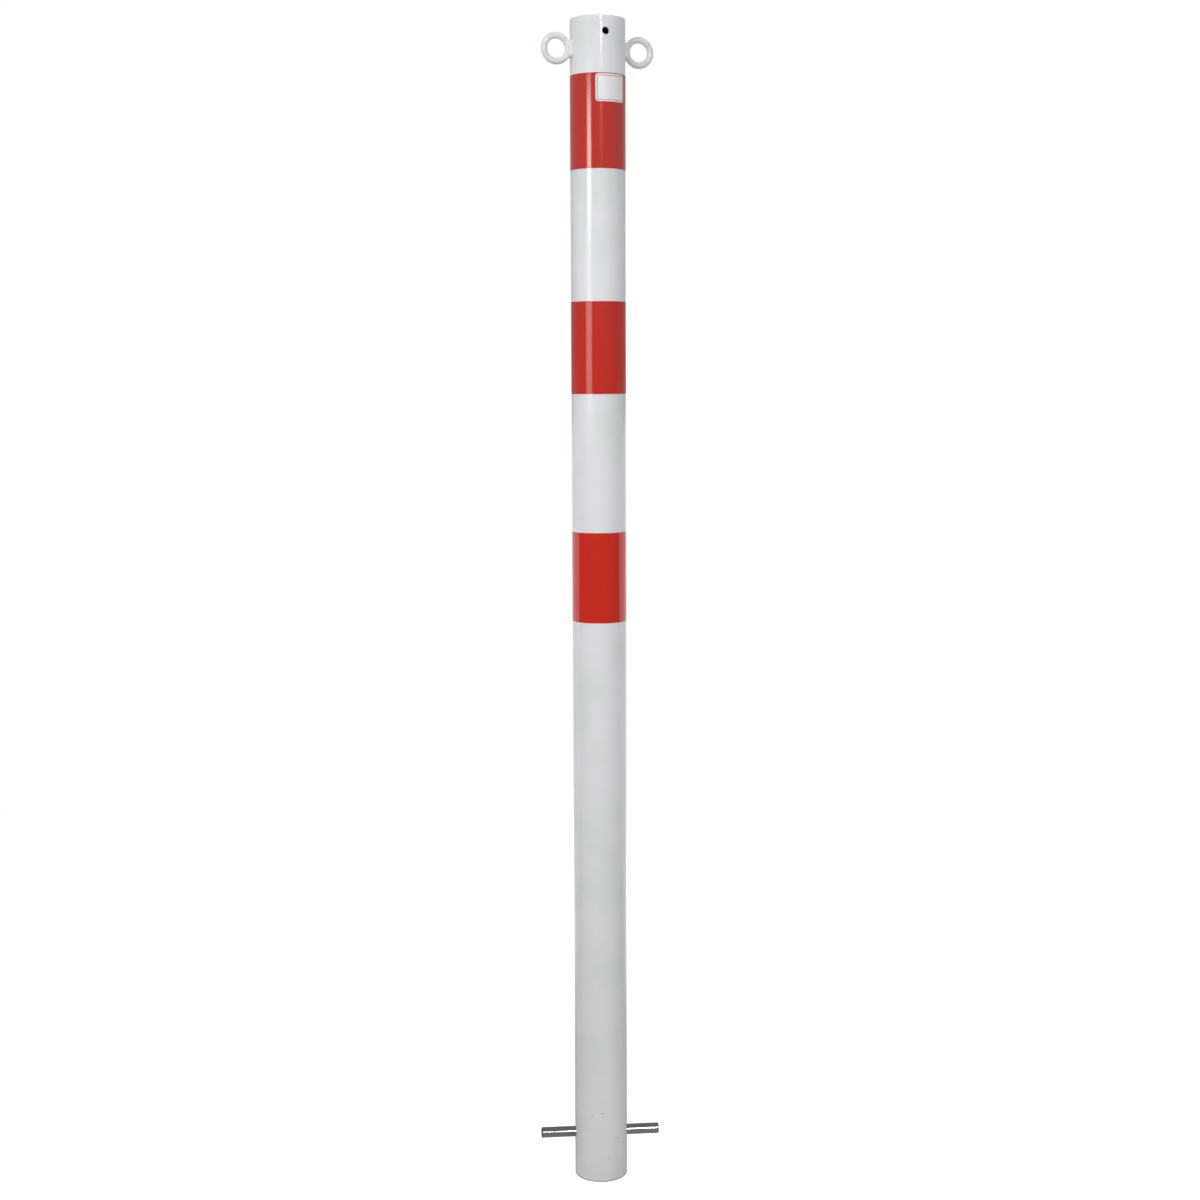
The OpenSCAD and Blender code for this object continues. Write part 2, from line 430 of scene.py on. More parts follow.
# One scuff is a ragged oval on the tube's wall, shallow enough to leave the far wall clean
def addScuff(tree, coords, ragged, at, mark, p):
    turn, height, wide, high, slope, strength = mark
    depthScale = 40.0
    across, down = at
    turn = math.radians(turn)
    spot = (p["wallRadius"] * math.cos(turn), p["wallRadius"] * math.sin(turn), height)
    along = addNode(tree, "ShaderNodeVectorMath", at, {0: coords, 1: spot}, operation="SUBTRACT").outputs[0]
    mapping = addNode(tree, "ShaderNodeMapping", (across + 200, down), {
        "Vector": along, "Rotation": (0, 0, -turn - math.pi / 2)}).outputs[0]
    parts = addSeparate(tree, (across + 400, down), mapping)
    lean = addMath(tree, "MULTIPLY", (across + 600, down - 100), parts["X"], -slope)
    up = addMath(tree, "ADD", (across + 700, down - 100), parts["Z"], lean)
    x = addMath(tree, "DIVIDE", (across + 800, down), parts["X"], wide)
    y = addMath(tree, "MULTIPLY", (across + 800, down + 100), parts["Y"], depthScale)
    z = addMath(tree, "DIVIDE", (across + 800, down - 200), up, high)
    reach = addLength(tree, (across + 1000, down), addCombine(tree, (across + 900, down), x, y, z))
    reach = addMath(tree, "ADD", (across + 1100, down), reach, ragged)
    return addRamp(tree, (across + 1200, down), reach, *p["scuffEdge"], strength, 0.0)


def makeCoat(p):
    material, tree, coords = newMaterial("whiteCoat")

    # Inside the tube the powder hardly reaches the steel
    parts = addSeparate(tree, (-1600, 300), coords)
    flat = addCombine(tree, (-1400, 400), parts["X"], parts["Y"])
    radius = addLength(tree, (-1200, 400), flat)
    inBore = addMath(tree, "LESS_THAN", (-1000, 400), radius, p["boreRadius"])
    underPlate = addMath(tree, "LESS_THAN", (-1000, 250), parts["Z"], p["plateUnderside"])
    raw = addMath(tree, "MULTIPLY", (-800, 300), inBore, underPlate)

    # Tone drifts a little over the post; grime and specks gather towards the foot
    drift = addNode(tree, "ShaderNodeTexNoise", (-1400, 0), {
        "Vector": coords, "Scale": p["driftScale"], "Detail": 4.0}).outputs[0]
    drifted = addRamp(tree, (-1000, 0), drift, *p["driftFrom"])
    tone = addMix(tree, (-600, 100), drifted, p["tone"], p["drift"])
    low = addRamp(tree, (-1000, -350), parts["Z"], 0.0, p["dirtReach"], 1.0, p["dirtHigh"])
    grimy = addSmudges(tree, (-1000, -550), coords, p["grimeSize"], p["grimeAmount"])
    grimy = addMath(tree, "MULTIPLY", (-900, -550), grimy, low)
    grimy = addMath(tree, "MULTIPLY", (-800, -550), grimy, p["grimeShare"])
    tone = addMix(tree, (-500, 100), grimy, tone, p["grime"])
    dusty = addSpecks(tree, (-1000, -200), coords, p["speckSpacing"], p["speckAmount"])
    dusty = addMath(tree, "MULTIPLY", (-700, -200), dusty, low)
    dusty = addMath(tree, "MULTIPLY", (-600, -200), dusty, p["speckShare"])
    tone = addMix(tree, (-400, 100), dusty, tone, p["dust"])

    # Scuffs near the foot, and a darker band along the sawn rim at the foot
    ragged = addNode(tree, "ShaderNodeTexNoise", (-3400, -900), {
        "Vector": coords, "Scale": p["scuffScale"], "Detail": 2.0}).outputs[0]
    ragged = addRamp(tree, (-3200, -900), ragged, *noiseSpan, -p["scuffRag"], p["scuffRag"])
    worn = 0.0
    for step, mark in enumerate(scuffs):
        scuff = addScuff(tree, coords, ragged, (-3000, -900 - 500 * step), mark, p)
        worn = addMath(tree, "MAXIMUM", (-1600, -900 - 500 * step), scuff, worn)
    tone = addMix(tree, (-300, 100), worn, tone, p["dust"])
    waver = addMath(tree, "MULTIPLY", (-1200, -700), ragged, p["rimRag"])
    rim = addMath(tree, "ADD", (-1000, -700), parts["Z"], waver)
    rimmed = addRamp(tree, (-800, -700), rim, 0.0, p["rimHeight"], p["rimDarkening"], 0.0)
    tone = addMix(tree, (-250, 100), rimmed, tone, p["dust"])

    marks = addMath(tree, "MAXIMUM", (-600, -350), worn, grimy)
    marks = addMath(tree, "MULTIPLY", (-500, -350), marks, p["markRoughness"])
    rough = addRamp(tree, (-500, -100), raw, 0, 1, p["roughness"], p["rawRoughness"])
    finishMaterial(tree, {
        "Base Color": addMix(tree, (-200, 100), raw, tone, p["rawSteel"]),
        "Metallic": addMath(tree, "MULTIPLY", (-200, -100), raw, p["rawMetal"]),
        "Roughness": addMath(tree, "ADD", (-400, -100), rough, marks),
        "Normal": addPeel(tree, coords, p["peelSize"], p["peelDepth"])})
    return material


# The film's gloss is the plastic's own, over the red behind it
film = {
    "tone": (0.62, 0.015, 0.002, 1),
    # painted shade: a darker red for the film higher up the post
    "shadedTopTone": (0.50, 0.013, 0.002, 1),
    "shadedTopFrom": (0.70, 1.20),
    "seam": (0.40, 0.009, 0.002, 1),
    "seamShare": 0.5,
    "dust": (0.60, 0.30, 0.27, 1),
    "speckSpacing": 0.013,
    "speckAmount": 0.10,
    "speckShare": 0.35,
    "roughness": 0.12,
    "hazeSize": 0.012,
    "hazeAmount": 0.8,
    "hazeRoughness": 1.35,
    "shine": 0.76,
    "peelSize": 0.006,
    "peelDepth": 0.000012,
}


# Cell film: darker in its seams, and painted shade makes it a little darker towards the top
def makeFilm(p):
    material, tree, coords = newMaterial("redFilm")
    rise = addNode(tree, "ShaderNodeAttribute", (-800, 200), attribute_name="cellRise").outputs["Fac"]
    height = addSeparate(tree, (-1200, 400), coords)["Z"]
    # painted shade: the red darkens between these heights
    shadedTop = addRamp(tree, (-1000, 400), height, *p["shadedTopFrom"], smooth=False)
    tone = addMix(tree, (-600, 300), shadedTop, p["tone"], p["shadedTopTone"])
    seamShare = addRamp(tree, (-600, 0), rise, 0.0, 1.0, p["seamShare"], 0.0)
    tone = addMix(tree, (-400, 100), seamShare, tone, p["seam"])
    dusty = addSpecks(tree, (-1000, -200), coords, p["speckSpacing"], p["speckAmount"])
    dusty = addMath(tree, "MULTIPLY", (-600, -200), dusty, p["speckShare"])
    hazy = addSmudges(tree, (-1000, -350), coords, p["hazeSize"], p["hazeAmount"])
    rough = p["roughness"]
    finishMaterial(tree, {
        "Base Color": addMix(tree, (-200, 100), dusty, tone, p["dust"]),
        "Roughness": addRamp(tree, (-400, -100), hazy, 0, 1, rough, rough * p["hazeRoughness"]),
        "Specular IOR Level": p["shine"],
        "Normal": addPeel(tree, coords, p["peelSize"], p["peelDepth"])})
    return material


label = {
    "tone": (0.80, 0.81, 0.82, 1),
    "line": (0.50, 0.03, 0.025, 1),
    "turn": -80.0,
    "radius": 0.0305,
    "middle": 1.2245,
    "halfWide": 0.0180,
    "halfHigh": 0.0145,
    "corner": 0.003,
    "inset": 0.0018,
    "lineWidth": 0.0006,
    "roughness": 0.20,
    "peelSize": 0.004,
    "peelDepth": 0.00005,
}


# A blank label with a thin printed border, laid out on its own arc and height
def makeLabel(p):
    material, tree, coords = newMaterial("labelFilm")
    turned = addNode(tree, "ShaderNodeMapping", (-1600, 0), {
        "Vector": coords, "Rotation": (0, 0, math.radians(-p["turn"]))}).outputs[0]
    parts = addSeparate(tree, (-1400, 0), turned)
    angle = addMath(tree, "ARCTAN2", (-1200, 0), parts["Y"], parts["X"])
    across = addMath(tree, "MULTIPLY", (-1100, 0), angle, p["radius"])
    across = addMath(tree, "ABSOLUTE", (-1000, 0), across)
    up = addMath(tree, "SUBTRACT", (-1100, -200), parts["Z"], p["middle"])
    up = addMath(tree, "ABSOLUTE", (-1000, -200), up)

    # How far a point lies from the rounded outline
    x = addMath(tree, "SUBTRACT", (-900, 0), across, p["halfWide"] - p["corner"])
    y = addMath(tree, "SUBTRACT", (-900, -200), up, p["halfHigh"] - p["corner"])
    outerX = addMath(tree, "MAXIMUM", (-800, 0), x, 0.0)
    outerY = addMath(tree, "MAXIMUM", (-800, -200), y, 0.0)
    outer = addLength(tree, (-600, 0), addCombine(tree, (-700, 0), outerX, outerY))
    inner = addMath(tree, "MAXIMUM", (-700, -300), x, y)
    inner = addMath(tree, "MINIMUM", (-600, -200), inner, 0.0)
    edge = addMath(tree, "ADD", (-500, 0), outer, inner)
    edge = addMath(tree, "SUBTRACT", (-400, 0), edge, p["corner"] - p["inset"])
    edge = addMath(tree, "ABSOLUTE", (-300, 0), edge)
    line = addMath(tree, "LESS_THAN", (-200, 0), edge, p["lineWidth"] / 2)
    finishMaterial(tree, {
        "Base Color": addMix(tree, (0, 100), line, p["tone"], p["line"]),
        "Roughness": p["roughness"],
        "Normal": addPeel(tree, coords, p["peelSize"], p["peelDepth"])})
    return material


rod = {
    "tone": (0.40, 0.39, 0.38, 1),
    "dark": (0.16, 0.15, 0.145, 1),
    "roughness": 0.17,
    "roughSpread": (0.8, 1.25),
    "turn": -14,
    "centerShift": -0.00125,
    "halfLength": 0.068,
    "sawnReach": (0.0016, 0.0003),
    "lineStretch": 0.012,
    "lineScale": 2200.0,
    "lineDepth": 0.000002,
    "hazeSize": 0.008,
    "hazeAmount": 0.8,
    "hazeShare": 0.2,
    "wornRoughness": 0.2,
}


# Drawn bar: fine lines along its axis, darker where it was sawn off
def makeRod(p):
    material, tree, coords = newMaterial("rodSteel")
    turned = addNode(tree, "ShaderNodeMapping", (-1600, 0), {
        "Vector": coords, "Rotation": (0, 0, math.radians(-p["turn"]))}).outputs[0]
    stretched = addNode(tree, "ShaderNodeMapping", (-1400, 0), {
        "Vector": turned, "Scale": (p["lineStretch"], 1, 1)}).outputs[0]
    lines = addNode(tree, "ShaderNodeTexNoise", (-1000, 0), {
        "Vector": stretched, "Scale": p["lineScale"], "Detail": 3.0}).outputs[0]
    along = addSeparate(tree, (-1400, 300), turned)["X"]
    along = addMath(tree, "SUBTRACT", (-1200, 300), along, p["centerShift"])
    along = addMath(tree, "ABSOLUTE", (-1000, 300), along)
    sawnFrom, sawnTo = p["sawnReach"]
    sawn = addRamp(tree, (-800, 300), along, p["halfLength"] - sawnFrom, p["halfLength"] - sawnTo)
    hazy = addSmudges(tree, (-1000, -350), coords, p["hazeSize"], p["hazeAmount"])
    hazy = addMath(tree, "MULTIPLY", (-800, -100), hazy, p["hazeShare"])
    worn = addMath(tree, "MAXIMUM", (-600, 100), sawn, hazy)
    smoothest, roughest = p["roughSpread"]
    rough = p["roughness"]
    rough = addRamp(tree, (-600, -100), lines, *noiseSpan, rough * smoothest, rough * roughest)
    dull = addMath(tree, "MULTIPLY", (-500, -250), worn, p["wornRoughness"])
    bump = addNode(tree, "ShaderNodeBump", (0, -400), {
        "Height": lines, "Distance": p["lineDepth"], "Strength": 1.0}).outputs[0]
    finishMaterial(tree, {
        "Base Color": addMix(tree, (-200, 100), worn, p["tone"], p["dark"]),
        "Metallic": 1.0,
        "Roughness": addMath(tree, "ADD", (-400, -100), rough, dull),
        "Normal": bump})
    return material


finishes = {
    "white_coat": makeCoat(coat),
    "red_film": makeFilm(film),
    "label_film": makeLabel(label),
    "rod_steel": makeRod(rod),
}


# Turns a piece's live modifiers into a plain mesh that sits at the origin
def bakeModifiers(piece):
    bpy.context.view_layer.update()
    graph = bpy.context.evaluated_depsgraph_get()
    mesh = bpy.data.meshes.new_from_object(piece.evaluated_get(graph), depsgraph=graph)
    mesh.name = piece.name
    piece.modifiers.clear()
    piece.data = mesh
    return piece


# An empty object with a node modifier, whose inputs are set by their sockets' identifiers
def makeFromNodes(name, tree, values):
    piece = bpy.data.objects.new(name, bpy.data.meshes.new(name))
    scene.collection.objects.link(piece)
    modifier = piece.modifiers.new(tree.name, "NODES")
    modifier.node_group = tree
    for item in tree.interface.items_tree:
        if item.item_type == "SOCKET" and item.in_out == "INPUT" and item.name in values:
            modifier[item.identifier] = values[item.name]
    return piece


def addPosition(tree, at):
    return addNode(tree, "GeometryNodeInputPosition", at).outputs[0]


sharpAngle = math.radians(40)

bands = {
    "startTurn": 44.0,
    "wrapRadius": 0.03014,
    "innerRadius": 0.02996,
    "thickness": 0.00034,
    "lapLength": 0.016,
    "lapRamp": 0.003,
    "cellWidth": 0.0048,
    "seam": 0.86,
    "seamDepth": 0.000003,
}


# A strip of cell film: hexagon cells with pressed seams, trimmed to the strip and wrapped over its own start
def cellFilmTree():
    rimShare = 0.97
    smallestFace = 1e-10
    mergeDistance = 1e-6
    tree = bpy.data.node_groups.new("cellFilm", "GeometryNodeTree")
    given, made = addSockets(tree, {
        "Bottom": ("NodeSocketFloat", 0.0),
        "Height": ("NodeSocketFloat", 0.1),
        "Start Turn": ("NodeSocketFloat", 0.77),
        "Wrap Radius": ("NodeSocketFloat", 0.0301),
        "Inner Radius": ("NodeSocketFloat", 0.03),
        "Thickness": ("NodeSocketFloat", 0.0003),
        "Lap Length": ("NodeSocketFloat", 0.016),
        "Lap Ramp": ("NodeSocketFloat", 0.003),
        "Cell Width": ("NodeSocketFloat", 0.0048),
        "Seam": ("NodeSocketFloat", 0.86),
        "Seam Depth": ("NodeSocketFloat", 0.000003),
        "Material": ("NodeSocketMaterial", None),
    }, {"Geometry": "NodeSocketGeometry"})
    around = addMath(tree, "MULTIPLY", (-2200, 400), given["Wrap Radius"], math.tau)
    length = addMath(tree, "ADD", (-2000, 400), around, given["Lap Length"])

    # One cell: a flat hexagon inside a rim that falls to the seam
    corner = addMath(tree, "DIVIDE", (-2200, 0), given["Cell Width"], math.sqrt(3))
    hexagon = addNode(tree, "GeometryNodeMeshCircle", (-2000, 0), {
        "Vertices": 6, "Radius": corner}, fill_type="NGON").outputs[0]
    rim = addNode(tree, "GeometryNodeExtrudeMesh", (-1800, 0), {
        "Mesh": hexagon, "Offset Scale": 0.0}, mode="FACES").outputs
    cell = addNode(tree, "GeometryNodeScaleElements", (-1600, 0), {
        "Geometry": rim["Mesh"], "Selection": rim["Top"], "Scale": given["Seam"]}).outputs[0]
    reach = addLength(tree, (-1600, -250), addPosition(tree, (-1800, -250)))
    edge = addMath(tree, "MULTIPLY", (-1600, -400), corner, rimShare)
    rise = addMath(tree, "LESS_THAN", (-1400, -250), reach, edge)
    cell = addNode(tree, "GeometryNodeStoreNamedAttribute", (-1200, 0), {
        "Geometry": cell, "Name": "cellRise", "Value": rise}, data_type="FLOAT", domain="POINT").outputs[0]
    cell = addNode(tree, "GeometryNodeSubdivideMesh", (-1000, 0), {"Mesh": cell, "Level": 1}).outputs[0]

    # The cells stand in columns, every other one half a cell higher
    columnStep = addMath(tree, "MULTIPLY", (-2000, 700), corner, 1.5)
    columns = addMath(tree, "DIVIDE", (-1800, 700), length, columnStep)
    columns = addMath(tree, "CEIL", (-1600, 700), columns)
    columns = addMath(tree, "ADD", (-1400, 700), columns, 2.0)
    rows = addMath(tree, "DIVIDE", (-1800, 550), given["Height"], given["Cell Width"])
    rows = addMath(tree, "CEIL", (-1600, 550), rows)
    rows = addMath(tree, "ADD", (-1400, 550), rows, 2.0)
    count = addMath(tree, "MULTIPLY", (-1200, 600), columns, rows)
    index = addNode(tree, "GeometryNodeInputIndex", (-1200, 400)).outputs[0]
    column = addMath(tree, "DIVIDE", (-1000, 450), index, rows)
    column = addMath(tree, "FLOOR", (-800, 450), column)
    row = addMath(tree, "MODULO", (-1000, 300), index, rows)
    lift = addMath(tree, "MODULO", (-800, 300), column, 2.0)
    lift = addMath(tree, "MULTIPLY", (-600, 450), lift, 0.5)
    across = addMath(tree, "MULTIPLY", (-400, 500), column, columnStep)
    up = addMath(tree, "ADD", (-600, 300), row, lift)
    up = addMath(tree, "MULTIPLY", (-400, 350), up, given["Cell Width"])
    spot = addCombine(tree, (-200, 400), across, up)
    points = addNode(tree, "GeometryNodePoints", (0, 300), {"Count": count, "Position": spot}).outputs[0]
    cells = addNode(tree, "GeometryNodeInstanceOnPoints", (200, 200), {
        "Points": points, "Instance": cell}).outputs[0]
    cells = addNode(tree, "GeometryNodeRealizeInstances", (400, 200), {"Geometry": cells}).outputs[0]

    # The strip's edges trim the cells: what lies outside is pulled to the edge and dropped
    flat = addSeparate(tree, (400, -100), addPosition(tree, (200, -100)))
    trimX = addNode(tree, "ShaderNodeClamp", (600, 0), {
        "Value": flat["X"], "Min": 0.0, "Max": length}).outputs[0]
    trimY = addNode(tree, "ShaderNodeClamp", (600, -200), {
        "Value": flat["Y"], "Min": 0.0, "Max": given["Height"]}).outputs[0]
    trimmed = addCombine(tree, (800, -100), trimX, trimY)
    sheet = addNode(tree, "GeometryNodeSetPosition", (1000, 200), {
        "Geometry": cells, "Position": trimmed}).outputs[0]
    area = addNode(tree, "GeometryNodeInputMeshFaceArea", (1000, 0)).outputs[0]
    sliver = addNode(tree, "FunctionNodeCompare", (1200, 0), {
        0: area, 1: smallestFace}, data_type="FLOAT", operation="LESS_THAN").outputs[0]
    sheet = addNode(tree, "GeometryNodeDeleteGeometry", (1400, 200), {
        "Geometry": sheet, "Selection": sliver}, domain="FACE").outputs[0]
    sheet = addNode(tree, "GeometryNodeMergeByDistance", (1600, 200), {
        "Geometry": sheet, "Distance": mergeDistance}).outputs[0]

    # The strip gets its thickness while it is flat
    raised = addCombine(tree, (1600, -50), z=given["Thickness"])
    top = addNode(tree, "GeometryNodeExtrudeMesh", (1800, 200), {
        "Mesh": sheet, "Offset": raised, "Offset Scale": 1.0, "Individual": False}, mode="FACES")
    under = addNode(tree, "GeometryNodeFlipFaces", (1800, 0), {"Mesh": sheet}).outputs[0]
    slab = addNode(tree, "GeometryNodeJoinGeometry", (2000, 200)).outputs[0]
    tree.links.new(top.outputs["Mesh"], slab.node.inputs[0])
    tree.links.new(under, slab.node.inputs[0])
    slab = addNode(tree, "GeometryNodeMergeByDistance", (2200, 200), {
        "Geometry": slab, "Distance": mergeDistance}).outputs[0]

    # Wrapped round the post, the end climbs over the start, and the seams sink on the outside only
    flat = addSeparate(tree, (2200, -100), addPosition(tree, (2000, -100)))
    turn = addMath(tree, "DIVIDE", (2400, -100), flat["X"], given["Wrap Radius"])
    climbFrom = addMath(tree, "SUBTRACT", (2400, -300), around, given["Lap Ramp"])
    climb = addRamp(tree, (2600, -300), flat["X"], climbFrom, around, 0.0, given["Thickness"])
    stored = addNode(tree, "GeometryNodeInputNamedAttribute", (2200, -500), {
        "Name": "cellRise"}, data_type="FLOAT").outputs[0]
    sunk = addMath(tree, "SUBTRACT", (2400, -500), 1.0, stored)
    sunk = addMath(tree, "MULTIPLY", (2600, -500), sunk, given["Seam Depth"])
    half = addMath(tree, "MULTIPLY", (2400, -700), given["Thickness"], 0.5)
    outside = addMath(tree, "GREATER_THAN", (2600, -700), flat["Z"], half)
    sunk = addMath(tree, "MULTIPLY", (2800, -500), sunk, outside)
    radius = addMath(tree, "ADD", (2600, -100), given["Inner Radius"], flat["Z"])
    radius = addMath(tree, "ADD", (2800, -100), radius, climb)
    radius = addMath(tree, "SUBTRACT", (3000, -100), radius, sunk)
    angle = addMath(tree, "ADD", (2600, 50), turn, given["Start Turn"])
    x = addMath(tree, "MULTIPLY", (3200, 50), radius, addMath(tree, "COSINE", (3000, 50), angle))
    y = addMath(tree, "MULTIPLY", (3200, -100), radius, addMath(tree, "SINE", (3000, -250), angle))
    z = addMath(tree, "ADD", (3200, -250), flat["Y"], given["Bottom"])
    wrapped = addCombine(tree, (3400, 0), x, y, z)
    band = addNode(tree, "GeometryNodeSetPosition", (3600, 200), {
        "Geometry": slab, "Position": wrapped}).outputs[0]
    band = addNode(tree, "GeometryNodeRealizeInstances", (3800, 200), {"Geometry": band}).outputs[0]
    band = addNode(tree, "GeometryNodeSetShadeSmooth", (4000, 200), {0: band}).outputs[0]
    band = addNode(tree, "GeometryNodeSetMaterial", (4200, 200), {
        "Geometry": band, "Material": given["Material"]}).outputs[0]
    tree.links.new(band, made["Geometry"])
    return tree


filmTree = cellFilmTree()
films = {"filmTop": "red_band_top", "filmMiddle": "red_band_middle", "filmBottom": "red_band_bottom"}
for name, node in films.items():
    low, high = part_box(node)
    band = makeFromNodes(name, filmTree, {
        "Bottom": low.z,
        "Height": high.z - low.z,
        "Start Turn": math.radians(bands["startTurn"]),
        "Wrap Radius": bands["wrapRadius"],
        "Inner Radius": bands["innerRadius"],
        "Thickness": bands["thickness"],
        "Lap Length": bands["lapLength"],
        "Lap Ramp": bands["lapRamp"],
        "Cell Width": bands["cellWidth"],
        "Seam": bands["seam"],
        "Seam Depth": bands["seamDepth"],
        "Material": finishes["red_film"],
    })
    bakeModifiers(band)
    band.data.set_sharp_from_angle(angle=sharpAngle)
    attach(band, "root")
    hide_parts(node)
    print(name, len(band.data.vertices), "points")

# The head in one skin of coating: the cap's rounded edge, and the ring weld dressed down to a soft swell
head = {
    "radius": 0.03002,
    "bore": 0.0275,
    "edge": 0.0009,
    "edgeSteps": 6,
    "weldHeight": 1.2950,
    "weldHalf": 0.0028,
    "wallSteps": 12,
    "underRim": 0.001,
    "underDepth": 0.0006,
    "topRings": (0.0285, 0.020),
    "swell": 0.00003,
    "swellBase": 0.8,
    "swellFrom": 0.0299,
    "waves": 5.0,
    "waveRow": 3,
    "turns": 160,
}


def makeHead(name, high, p):
    weldHeight, weldHalf, count = p["weldHeight"], p["weldHalf"], p["turns"]

    # The profile runs from the middle of the underside, out to the wall, up it and over the edge
    profile = [(p["bore"], weldHeight), (p["bore"] + p["underRim"], weldHeight),
               (p["radius"] - p["underDepth"], weldHeight - weldHalf)]
    for k in range(p["wallSteps"] + 1):
        profile.append((p["radius"], weldHeight + weldHalf * (2 * k / p["wallSteps"] - 1)))
    for k in range(p["edgeSteps"], -1, -1):
        a = math.radians(90 * k / p["edgeSteps"])
        profile.append((p["radius"] - p["edge"] * (1 - math.sin(a)), high - p["edge"] * (1 - math.cos(a))))
    profile += [(radius, high) for radius in p["topRings"]]

    verts = [(0, 0, weldHeight)]
    for radius, z in profile:
        near = max(0.0, 1 - ((z - weldHeight) / weldHalf) ** 2) ** 2
        for k in range(count):
            turn = 2 * math.pi * k / count
            spot = Vector((math.cos(turn), math.sin(turn), p["waveRow"])) * p["waves"]
            swell = 0.0
            if radius > p["swellFrom"]:
                swell = p["swell"] * near * (p["swellBase"] + noise.noise(spot))
            verts.append(((radius + swell) * math.cos(turn), (radius + swell) * math.sin(turn), z))
    verts.append((0, 0, high))
    faces = [(0, 1 + (k + 1) % count, 1 + k) for k in range(count)]
    for ring in range(len(profile) - 1):
        start = 1 + ring * count
        for k in range(count):
            after = (k + 1) % count
            faces.append((start + k, start + after, start + count + after, start + count + k))
    start = 1 + (len(profile) - 1) * count
    faces += [(start + k, start + (k + 1) % count, len(verts) - 1) for k in range(count)]
    mesh = bpy.data.meshes.new(name)
    mesh.from_pydata(verts, [], faces)
    mesh.shade_smooth()
    mesh.set_sharp_from_angle(angle=sharpAngle)
    mesh.materials.append(finishes["white_coat"])
    piece = bpy.data.objects.new(name, mesh)
    scene.collection.objects.link(piece)
    return piece


low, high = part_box("head_plate")
coatedHead = makeHead("coatedHead", high.z, head)
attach(coatedHead, "root")
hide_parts("head_plate", "head_weld")
print("coatedHead", len(coatedHead.data.vertices), "points")

eyes = {
    "wallRadius": 0.030,
    "ringRadius": 0.0135,
    "barRadius": 0.0035,
    "lineOut": 0.00055,
    "flank": 0.0027,
    "sweep": 36.0,
    "ripples": 6,
    "rippleRadius": 0.0044,
    "jitter": 0.00014,
    "seed": 7,
    "patchHigh": 0.026,
    "patchWide": 0.022,
    "patchRadius": 0.02990,
    "voxel": 0.00032,
    "softening": 8,
}


